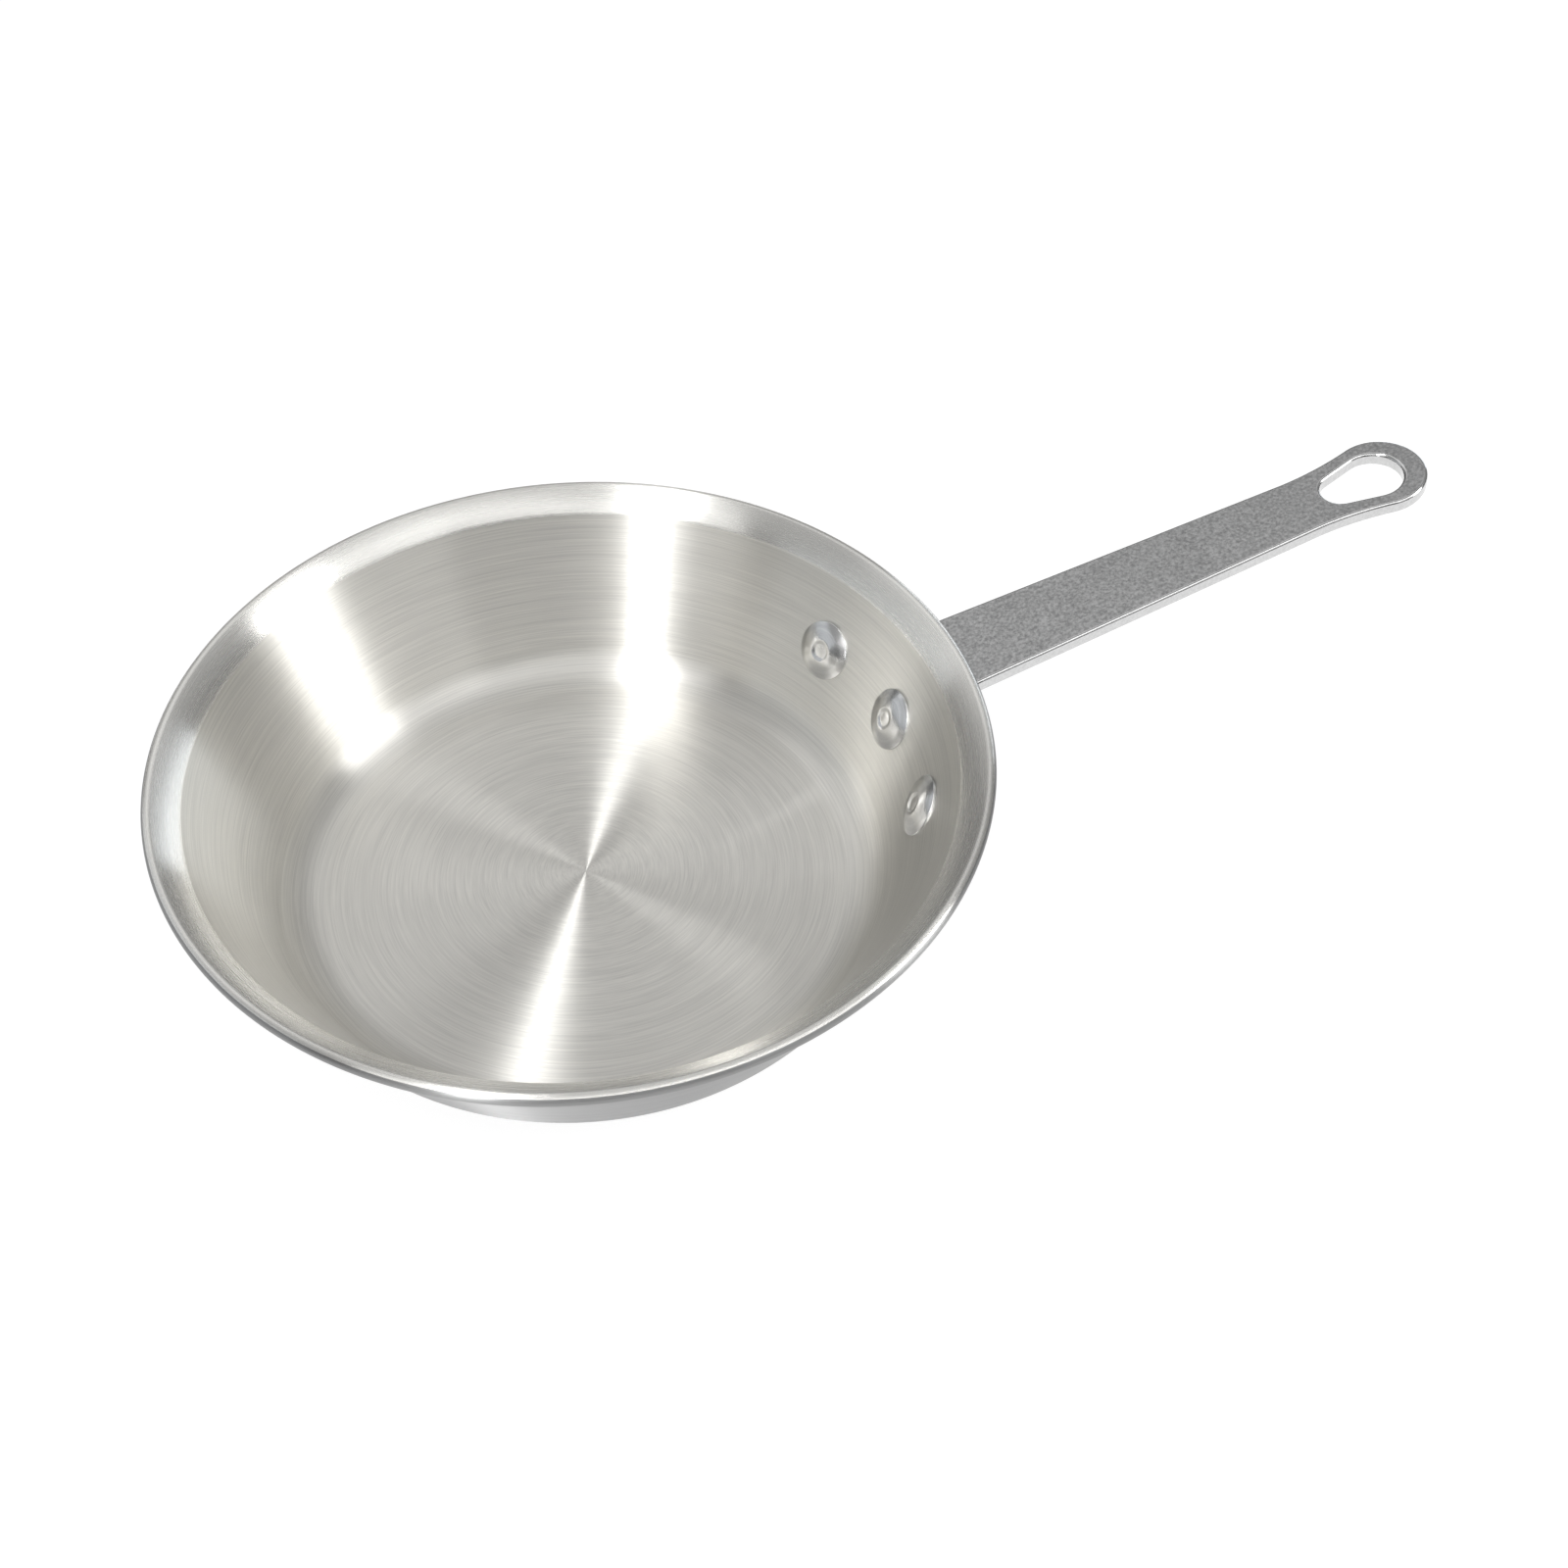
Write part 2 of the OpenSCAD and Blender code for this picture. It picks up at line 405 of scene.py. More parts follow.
@dataclass(frozen=True)
class PressedFinish(Finish):
    """Bright aluminium of a rivet, with faint rings from the tool that pressed it."""

    metal: Colour = tone(0.84, 0.004)
    ring_tone: Colour = tone(0.58, 0.004)
    roughness: float = 0.21
    roughness_spread: float = 0.05
    ring_rate: float = 900.0
    ring_span: Pair = (0.3, 0.7)
    wander: float = 0.0006
    wander_rate: float = 300.0
    dent_rate: float = 500.0
    bump_depth: float = 0.00002

    def fill(self, graph: NodeGraph) -> None:
        """Puts the rings into the colour, the gloss and the bump.

        Args:
            graph: The material's nodes.
        """
        place = graph.place()
        wander = graph.times(graph.noise(place, self.wander_rate), self.wander)
        radius = graph.add(graph.length(graph.flat(place)), wander)
        rings = graph.noise(graph.node("CombineXYZ", {"X": radius}), self.ring_rate)
        gloss = graph.ramp(rings, self.ring_span, (self.roughness + self.roughness_spread,
                                                   self.roughness - self.roughness_spread))
        graph.metal(graph.mix(rings, self.ring_tone, self.metal), gloss,
                    graph.add(rings, graph.noise(place, self.dent_rate)), self.bump_depth)


@dataclass(frozen=True)
class FloorFinish(Finish):
    """White floor that stays white to the camera and still holds a soft shadow."""

    paper: Colour = tone(0.80)
    shaded: Colour = tone(0.22)
    glow: float = 0.86

    def fill(self, graph: NodeGraph) -> None:
        """Makes plain white paper for light that bounces, lifted to white for the eye.

        Args:
            graph: The material's nodes.
        """
        camera, glossy, through = (graph.node("LightPath", output=f"Is {kind} Ray")
                                   for kind in ("Camera", "Glossy", "Transmission"))
        seen = graph.maths("MAXIMUM", camera, graph.maths("MAXIMUM", glossy, through))
        paper = graph.node("BsdfDiffuse", {"Color": self.paper})
        lit = graph.node("AddShader", {0: graph.node("BsdfDiffuse", {"Color": self.shaded}),
                                       1: graph.node("Emission", {"Strength": self.glow})})
        graph.node("OutputMaterial", {"Surface": graph.node("MixShader", {0: seen, 1: paper, 2: lit})})


def mesh_object(name: str, points: np.ndarray, faces: Faces, normals: np.ndarray | None,
                material: bpy.types.Material) -> bpy.types.Object:
    """Makes a smooth mesh object in the scene.

    Args:
        name: Name of the object and its mesh.
        points: The vertices, one row each.
        faces: Vertex numbers of each face.
        normals: The vertices' normals, or None to leave them to the faces.
        material: What it is made of.

    Returns:
        The new object.
    """
    mesh = bpy.data.meshes.new(name)
    mesh.from_pydata([tuple(p) for p in points], [], faces)
    mesh.validate()
    mesh.shade_smooth()
    mesh.materials.append(material)
    if normals is not None:
        mesh.normals_split_custom_set_from_vertices([tuple(n) for n in normals])
    made = bpy.data.objects.new(name, mesh)
    bpy.context.scene.collection.objects.link(made)
    return made


def lathe(outline: Outline, sides: int) -> Skin:
    """Turns an outline round the Z axis into a closed skin.

    Args:
        outline: Distance from the axis and height of each point, from pole to pole, outside left.
        sides: How many sides the skin gets.

    Returns:
        The vertices, their normals and the faces.
    """
    turns = np.linspace(0.0, 2.0 * math.pi, sides, endpoint=False)
    points, normals, rings = [], [], []
    for (radius, height), (out, rise) in zip(outline.points, outline.normals, strict=True):
        pole = radius < SAME_PLACE
        ring = []
        for turn in turns[:1] if pole else turns:
            ring.append(len(points))
            points.append((radius * math.cos(turn), radius * math.sin(turn), height))
            normals.append((0.0, 0.0, math.copysign(1.0, rise)) if pole
                           else (out * math.cos(turn), out * math.sin(turn), rise))
        rings.append(ring)
    faces = []
    for lower, higher in zip(rings[:-1], rings[1:], strict=True):
        for i in range(sides):
            j = (i + 1) % sides
            if len(lower) == 1:
                faces.append((lower[0], higher[i], higher[j]))
            elif len(higher) == 1:
                faces.append((lower[j], lower[i], higher[0]))
            else:
                faces.append((lower[i], higher[i], higher[j], lower[j]))
    return np.array(points), np.array(normals), faces


@dataclass
class Bowl:
    """The spun bowl: a flat floor, a round foot, a straight wall and a flared lip."""

    rim_radius: float = 0.104
    height: float = 0.051
    sheet: float = 0.0033
    wall_angle: float = 64.5
    corner_radius: float = 0.016
    lip_angle_in: float = 50.0
    lip_angle_out: float = 31.0
    lip_radius: float = 0.020
    flare_radius: float = 0.003
    centre_mark_radius: float = 0.0007
    centre_mark_depth: float = 0.00015
    mark_steps: int = 4
    ring_step: float = 0.002
    sides: int = 288
    foot_steps: int = 28
    flare_steps: int = 10
    lip_steps: int = 12
    edge_steps: int = 18
    # Share of the rolled edge, from the top, that keeps the lip's finish; the rest gets the dark colour of
    # painted shade.
    bright_share: float = 0.36
    finish: SpunFinish = field(default_factory=SpunFinish)
    lip_finish: SpunFinish = SpunFinish(tone(0.90, 0.04), tone(0.82, 0.035), roughness=0.27)
    # Painted shade: the dark colour on the rolled edge's lower part draws the thin dark line round the rim.
    edge_finish: SpunFinish = SpunFinish(tone(0.42), tone(0.30), roughness=0.34)
    # Painted shade: the outside's darker colour stands in for the shaded floor that it mirrors; its higher
    # roughness is its own duller finish.
    shaded_outer_finish: SpunFinish = SpunFinish(tone(0.56), tone(0.40), roughness=0.46)

    @classmethod
    def from_frame(cls) -> Bowl:
        """Makes a bowl whose reach and height are those of the frame's bowl."""
        low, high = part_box("pan_body")
        return cls(rim_radius=high.x, height=high.z - low.z)

    def __post_init__(self) -> None:
        """Works out the sheet's middle line from the edge of the lip down to the base."""
        wall = math.radians(self.wall_angle)
        self.half = self.sheet / 2.0
        self.edge_centre = np.array([self.rim_radius - self.half, self.height - self.half])
        self.lip_centre = self.edge_centre - self.lip_radius * upper(self.lip_angle_out)
        flare_in = self.lip_radius - self.flare_radius
        self.flare_centre = self.lip_centre + flare_in * upper(self.lip_angle_in)
        wall_top = self.flare_centre + self.flare_radius * upper(self.wall_angle)
        middle = self.corner_radius - self.half
        foot_z = self.corner_radius - middle * math.cos(wall)
        fall = (wall_top[1] - foot_z) / math.tan(wall)
        self.wall_foot = np.array([wall_top[0] - fall, foot_z])
        self.corner_centre = np.array([self.wall_foot[0] - middle * math.sin(wall), self.corner_radius])

    def wall_point(self, height: float, lift: float) -> np.ndarray:
        """A point of the straight wall.

        Args:
            height: Its height.
            lift: How far it lies off the sheet's middle line, towards the inside.

        Returns:
            Its distance from the axis and its height.
        """
        foot = self.wall_foot + lift * upper(self.wall_angle)
        return np.array([foot[0] + (height - foot[1]) / math.tan(math.radians(self.wall_angle)), height])

    def face(self, lift: float, flip: float) -> Outline:
        """One face of the sheet, from the floor's middle out to the edge of the lip.

        Args:
            lift: How far it lies off the sheet's middle line.
            flip: 1 for the inner face, -1 for the outer one.

        Returns:
            The face's points, with normals that point out of the metal.
        """
        line = Outline()
        floor_z = self.half + lift
        up = np.array([0.0, flip])
        depth, steps = (self.centre_mark_depth, self.mark_steps) if flip > 0 else (0.0, 0)
        for i in range(steps + 1):
            share = i / self.mark_steps
            dip = depth * (1.0 - float(smooth_step(0.0, 1.0, share)))
            line.add((self.centre_mark_radius * share, floor_z - dip), up)
        start = np.array([self.centre_mark_radius, floor_z])
        knee = np.array([self.corner_centre[0], floor_z])
        line.run(knee, round((knee[0] - start[0]) / self.ring_step), up, start)
        line.bend(self.corner_centre, lift - (self.corner_radius - self.half), (0.0, self.wall_angle),
                  self.foot_steps, flip)
        wall_top = self.flare_centre + (self.flare_radius + lift) * upper(self.wall_angle)
        steps = round(float(np.linalg.norm(wall_top - line.points[-1])) / self.ring_step)
        line.run(wall_top, steps, flip * upper(self.wall_angle))
        line.bend(self.flare_centre, self.flare_radius + lift, (self.wall_angle, self.lip_angle_in),
                  self.flare_steps, flip)
        line.bend(self.lip_centre, self.lip_radius + lift, (self.lip_angle_in, self.lip_angle_out),
                  self.lip_steps, flip)
        return line

    def section(self) -> tuple[Outline, list[int]]:
        """The whole closed section: the inner face, the round edge of the lip and the outer face.

        Returns:
            The section, and at which of its points each of the three starts.
        """
        inner, edge, outer = self.face(self.half, 1.0), Outline(), self.face(-self.half, -1.0)
        edge.bend(self.edge_centre, self.half, (self.lip_angle_out, self.lip_angle_out - 180.0),
                  self.edge_steps)
        outer.points.reverse()
        outer.normals.reverse()
        whole, starts = Outline(), []
        for part in (inner, edge, outer):
            starts.append(len(whole.points))
            whole = Outline(whole.points + part.points, whole.normals + part.normals).distinct()
        return whole, starts

    def build(self) -> bpy.types.Object:
        """Builds the bowl and puts it in the frame's place.

        Returns:
            The bowl's object.
        """
        section, (_, edge_start, outer_start) = self.section()
        points, normals, faces = lathe(section, self.sides)
        piece = mesh_object("spun_bowl", points, faces, normals, self.finish.build("spun_aluminium_inside"))
        # The outside's darker colour is painted shade.
        parts = {"lip": self.lip_finish, "edge": self.edge_finish, "outside": self.shaded_outer_finish}
        for part, finish in parts.items():
            piece.data.materials.append(finish.build(f"spun_aluminium_{part}"))
        # Past its top share, the rolled edge takes the dark colour that paints the line of shade round the
        # rim.
        starts = (edge_start - self.flare_steps - self.lip_steps,
                  edge_start + round(self.edge_steps * self.bright_share), outer_start - 1)
        for polygon in piece.data.polygons:
            ring = polygon.index // self.sides
            polygon.material_index = sum(ring >= start for start in starts)
        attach(piece, ROOT)
        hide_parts("pan_body")
        return piece


@dataclass
class Rivets:
    """Three solid rivets: a wide domed head inside the bowl and a closed end outside the tee."""

    bowl: Bowl
    seat_height: float = 0.0274
    pitch: float = 21.0
    shank_radius: float = 0.0032
    head_radius: float = 0.0083
    head_height: float = 0.0027
    head_edge: float = 0.0007
    head_corner: float = 0.0003
    undercut: float = 0.00025
    dimple_radius: float = 0.0030
    dimple_depth: float = 0.0005
    dimple_side: Pair = (0.55, 1.08)
    tail_radius: float = 0.0055
    tail_height: float = 0.0026
    tee_thickness: float = 0.0031
    seat_gap: float = 0.00005
    sides: int = 96
    head_steps: int = 40
    corner_steps: int = 6
    edge_steps: int = 3
    undercut_steps: int = 5
    under_steps: int = 6
    tail_steps: int = 18
    finish: PressedFinish = field(default_factory=PressedFinish)

    def seat(self) -> np.ndarray:
        """The rivets' place on the wall's inner face."""
        return self.bowl.wall_point(self.seat_height, self.bowl.half)

    def placement(self, place: RivetPlace) -> Matrix:
        """Where a rivet stands, with its own +Z into the bowl."""
        seat = self.seat()
        return (Matrix.Rotation(math.radians(self.pitch * place.value), 4, "Z")
                @ Matrix.Translation((seat[0], 0.0, seat[1]))
                @ Matrix.Rotation(math.radians(-self.bowl.wall_angle), 4, "Y"))

    def head_outline(self) -> Outline:
        """The head from its middle out: the dimple, its soft rim, the dome and the upright edge.

        Returns:
            The head's outline, down to its lower edge.
        """
        line = Outline()
        rise = self.head_height - self.head_edge
        ball = (self.head_radius ** 2 + rise ** 2) / (2.0 * rise)
        reach = self.head_radius - self.head_corner
        places = []
        for i in range(self.head_steps + 1):
            radius = reach * i / self.head_steps
            dome = self.head_height - ball + math.sqrt(ball ** 2 - radius ** 2)
            side = float(smooth_step(*self.dimple_side, radius / self.dimple_radius))
            places.append((radius, dome - self.dimple_depth * (1.0 - side)))
        for i, place in enumerate(places):
            before, after = places[max(0, i - 1)], places[min(self.head_steps, i + 1)]
            slope = math.degrees(math.atan2(after[1] - before[1], after[0] - before[0]))
            line.add(place, upper(slope if i else 0.0))
        lean = math.degrees(math.asin(-reach / ball))
        centre = line.points[-1] - self.head_corner * upper(lean)
        line.bend(centre, self.head_corner, (lean, -90.0), self.corner_steps)
        return line

    def outline(self) -> Outline:
        """The whole rivet's outline, from the head's middle to the closed end's middle.

        Returns:
            The outline of a rivet that stands upright on a flat seat.
        """
        line = self.head_outline()
        out, down = np.array([1.0, 0.0]), np.array([0.0, -1.0])
        side = line.points[-1][0]
        seat = self.seat_gap
        line.run((side, seat + self.undercut), self.edge_steps, out)
        line.bend((side - self.undercut, seat + self.undercut), self.undercut, (-90.0, -180.0),
                  self.undercut_steps)
        line.run((self.shank_radius, seat), self.under_steps, down)
        grip_end = -(self.bowl.sheet + seat + self.tee_thickness) - seat
        line.add((self.shank_radius, seat), out)
        line.add((self.shank_radius, grip_end), out)
        line.add((self.shank_radius, grip_end), -down)
        line.add((self.tail_radius, grip_end), -down)
        ball = (self.tail_radius ** 2 + self.tail_height ** 2) / (2.0 * self.tail_height)
        lean = math.degrees(math.asin(self.tail_radius / ball))
        line.bend((0.0, grip_end - self.tail_height + ball), -ball, (lean, 0.0), self.tail_steps, -1.0)
        return line

    def build(self) -> list[bpy.types.Object]:
        """Builds the rivets and puts each in its node's place.

        Returns:
            The rivets' objects.
        """
        points, normals, faces = lathe(self.outline(), self.sides)
        self.fit_to_wall(points)
        material = self.finish.build("rivet_aluminium_pressed")
        made = []
        for place in RivetPlace:
            piece = mesh_object(f"solid_rivet_{place.name.lower()}", points, faces, normals, material)
            piece.matrix_world = self.placement(place)
            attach(piece, ROOT)
            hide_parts(place.node)
            made.append(piece)
        return made

    def fit_to_wall(self, points: np.ndarray) -> None:
        """Lifts the head's underside to the hollow of the wall, which curves round the bowl.

        Args:
            points: The rivet's vertices, of which those on the seat are moved.
        """
        wall_radius = self.seat()[0] / math.sin(math.radians(self.bowl.wall_angle))
        under = np.abs(points[:, 2] - self.seat_gap) < SAME_PLACE
        points[under, 2] += points[under, 1] ** 2 / (2.0 * wall_radius)


@dataclass
class Handle:
    """The steel bar: its flat pattern, rounded at the edges, and the path that it is bent to.

    In the pattern u runs along the bar, outwards from under the rim's edge, v across it and
    w through it, upwards on the stem and into the bowl on the tee.
    """

    bowl: Bowl
    rivets: Rivets
    thickness: float = 0.0039
    slope: float = 10.4
    drop: float = 0.0051
    root_width: float = 0.0256
    neck_width: float = 0.0196
    neck_radius: float = 0.090
    end_radius: float = 0.0126
    reach: float = 0.140
    bend_radius: float = 0.008
    hole_wide_radius: float = 0.0079
    hole_narrow_radius: float = 0.0055
    hole_length: float = 0.0232
    hole_margin: float = 0.0066
    tee_half_height: float = 0.0104
    tee_end_reach: float = 0.0095
    web_radius: float = 0.0048
    tab_margin: float = 0.001
    set_back: float = 0.001
    curl_delay: float = 0.0015
    curl_overrun: float = 0.0005
    least_curl: float = 1e-6
    edge_round: float = 0.0009
    round_steps: int = 8
    tip_steps: int = 40
    neck_steps: int = 24
    stem_steps: int = 40
    root_steps: int = 24
    web_steps: int = 12
    wing_steps: int = 10
    tee_end_steps: int = 36
    tee_foot_steps: int = 22
    hole_steps: tuple[int, int, int] = (48, 28, 8)
    rivet_hole_steps: int = 32
    probe: float = 1e-6
    finish: PlatedFinish = field(default_factory=PlatedFinish)
    edge_finish: PlatedFinish = PlatedFinish(tone(0.68), tone(0.58), roughness=0.14, bump_depth=0.000004)

    def __post_init__(self) -> None:
        """Works out the middle line of the bent bar, as the frame has it."""
        half, half_tee = self.thickness / 2.0, self.rivets.tee_thickness / 2.0
        wall, gap = self.bowl.wall_angle, self.rivets.seat_gap
        tee_seat = self.rivets.seat() - (self.bowl.sheet + gap) * upper(wall)
        rim = np.array([self.bowl.rim_radius, self.bowl.height - self.drop])
        stem_start = rim - half * upper(self.slope)
        tab_end_rise = self.rivets.tail_radius + self.tab_margin
        tab_end = tee_seat + tab_end_rise * along(wall) - (self.set_back + half) * upper(wall)
        bend_angle = wall - self.slope
        to_corner = float((stem_start - tab_end) @ upper(self.slope)) / math.sin(math.radians(bend_angle))
        corner = tab_end + to_corner * along(wall)
        cut = self.bend_radius * math.tan(math.radians(bend_angle / 2.0))
        bend_start = corner + cut * along(self.slope)
        self.bend_centre = bend_start - self.bend_radius * upper(self.slope)
        self.bend_u = float((bend_start - stem_start) @ along(self.slope))
        self.tab_u = self.bend_u - self.bend_radius * math.radians(bend_angle)
        self.row_u = self.tab_u - (to_corner - cut) - tab_end_rise
        self.tee_shift = self.set_back + half - gap - half_tee
        self.row_radius = float((tee_seat - (gap + half_tee) * upper(wall))[0])
        self.wing = self.row_radius * math.radians(self.rivets.pitch)
        self.tee_top_u = self.row_u + self.tee_half_height

    def path(self, u: np.ndarray) -> tuple[np.ndarray, np.ndarray, np.ndarray]:
        """The bent middle line.

        Args:
            u: Distances along the bar.

        Returns:
            Distance from the axis, height and slope in radians, each for every u.
        """
        wall = self.bowl.wall_angle
        turn = np.radians(np.clip(
            self.slope + np.degrees((self.bend_u - u) / self.bend_radius), self.slope, wall))
        on_stem, on_tab = np.maximum(u - self.bend_u, 0.0), np.minimum(u - self.tab_u, 0.0)
        stem, tab = along(self.slope), along(wall)
        x = self.bend_centre[0] - self.bend_radius * np.sin(turn) + on_stem * stem[0] + on_tab * tab[0]
        z = self.bend_centre[1] + self.bend_radius * np.cos(turn) + on_stem * stem[1] + on_tab * tab[1]
        return x, z, turn

    def place(self, uvw: np.ndarray) -> np.ndarray:
        """Takes points of the flat pattern to where they lie on the bent bar.

        Args:
            uvw: Points of the pattern, one row each.

        Returns:
            The same points in the frame, one row each.
        """
        u, v, w = uvw.T
        x, z, turn = self.path(u)
        curl = smooth_step(self.tab_u + self.curl_delay, self.tee_top_u + self.curl_overrun, u)
        sink = smooth_step(self.tab_u, self.tee_top_u, u)
        lift = w * (1.0 + curl * (self.rivets.tee_thickness / self.thickness - 1.0)) + sink * self.tee_shift
        stretch = 1.0 + curl * (x / self.row_radius - 1.0)
        bend = np.maximum(curl, self.least_curl) / self.row_radius
        turned = bend * v
        out = -np.sin(turn) * lift
        return np.stack([
            x - stretch * (1.0 - np.cos(turned)) / bend + out * np.cos(turned),
            stretch * np.sin(turned) / bend + out * np.sin(turned),
            z + np.cos(turn) * lift], axis=1)

    def pattern(self) -> np.ndarray:
        """The pattern's outline: from the tip back to the tee's lower middle, and the same mirrored.

        Returns:
            Its points, anticlockwise.
        """
        end_at = self.reach - self.end_radius
        hollow_y = self.neck_width / 2.0 + self.neck_radius
        hollow_at = end_at - math.sqrt((self.neck_radius + self.end_radius) ** 2 - hollow_y ** 2)
        lean = math.degrees(math.atan2(hollow_y, hollow_at - end_at))
        half_root, root_u = self.root_width / 2.0, self.tee_top_u + self.web_radius
        line = Outline()
        line.bend((end_at, 0.0), self.end_radius, (-90.0, lean - 90.0), self.tip_steps)
        line.bend((hollow_at, hollow_y), self.neck_radius, (lean - 270.0, -180.0), self.neck_steps)
        line.run((0.0, half_root), self.stem_steps)
        line.run((root_u, half_root), self.root_steps)
        line.bend((root_u, half_root + self.web_radius), self.web_radius, (-180.0, -270.0), self.web_steps)
        line.run((self.tee_top_u, self.wing), self.wing_steps)
        line.bend((self.row_u, self.wing), np.array([self.tee_half_height, self.tee_end_reach]),
                  (-90.0, 90.0), self.tee_end_steps)
        line.run((self.row_u - self.tee_half_height, 0.0), self.tee_foot_steps)
        half = line.distinct().points
        return np.array(half + [point * (1.0, -1.0) for point in half[-2:0:-1]])

    def hanging_hole(self) -> np.ndarray:
        """The hanging hole's outline.

        Returns:
            Its points, clockwise.
        """
        wide_at = self.reach - self.hole_margin - self.hole_wide_radius
        narrow_at = wide_at + self.hole_wide_radius - self.hole_length + self.hole_narrow_radius
        lean = math.degrees(math.asin(
            (self.hole_wide_radius - self.hole_narrow_radius) / (wide_at - narrow_at)))
        wide_steps, narrow_steps, side_steps = self.hole_steps
        line = Outline()
        line.bend((wide_at, 0.0), self.hole_wide_radius, (lean, -180.0 - lean), wide_steps)
        line.bend((narrow_at, 0.0), self.hole_narrow_radius, (-180.0 - lean, lean - 360.0), narrow_steps)
        line.run(line.points[0], side_steps)
        return np.array(line.points[:-1])

    def rivet_hole(self, place: RivetPlace) -> np.ndarray:
        """A rivet hole's outline in the tee.

        Args:
            place: Which rivet it is for.

        Returns:
            Its points, clockwise.
        """
        radius = self.rivets.shank_radius + self.rivets.seat_gap
        line = Outline()
        line.bend((self.row_u, self.wing * place.value), radius, (-90.0, -450.0), self.rivet_hole_steps)
        return np.array(line.points[:-1])

    def build(self) -> bpy.types.Object:
        """Builds the handle and puts it in the frame's place.

        Returns:
            The handle's object.
        """
        loops = [self.pattern(), self.hanging_hole(), *(self.rivet_hole(place) for place in RivetPlace)]
        rounds = [self.edge_round] * 2 + [0.0] * len(RivetPlace)
        plate = Plate(loops, self.thickness / 2.0, rounds, self.round_steps)
        points, normals, faces = plate.skin()
        piece = mesh_object("bent_handle", self.place(points), faces, self.true_normals(points, normals),
                            self.finish.build("plated_steel_face"))
        piece.data.materials.append(self.edge_finish.build("plated_steel_edge"))
        for polygon in piece.data.polygons[:plate.edge_faces]:
            polygon.material_index = 1
        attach(piece, ROOT)
        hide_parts("handle")
        return piece

    def true_normals(self, points: np.ndarray, normals: np.ndarray) -> np.ndarray:
        """Takes the pattern's normals to the bent bar.

        Args:
            points: Points of the pattern.
            normals: Their normals in the pattern.

        Returns:
            Their normals on the bent bar.
        """
        a, b, c = [(self.place(points + step) - self.place(points - step)) / (2.0 * self.probe)
                   for step in self.probe * np.eye(3)]
        turned = (np.cross(b, c) * normals[:, 0:1] + np.cross(c, a) * normals[:, 1:2]
                  + np.cross(a, b) * normals[:, 2:3])
        return turned / np.linalg.norm(turned, axis=1, keepdims=True)


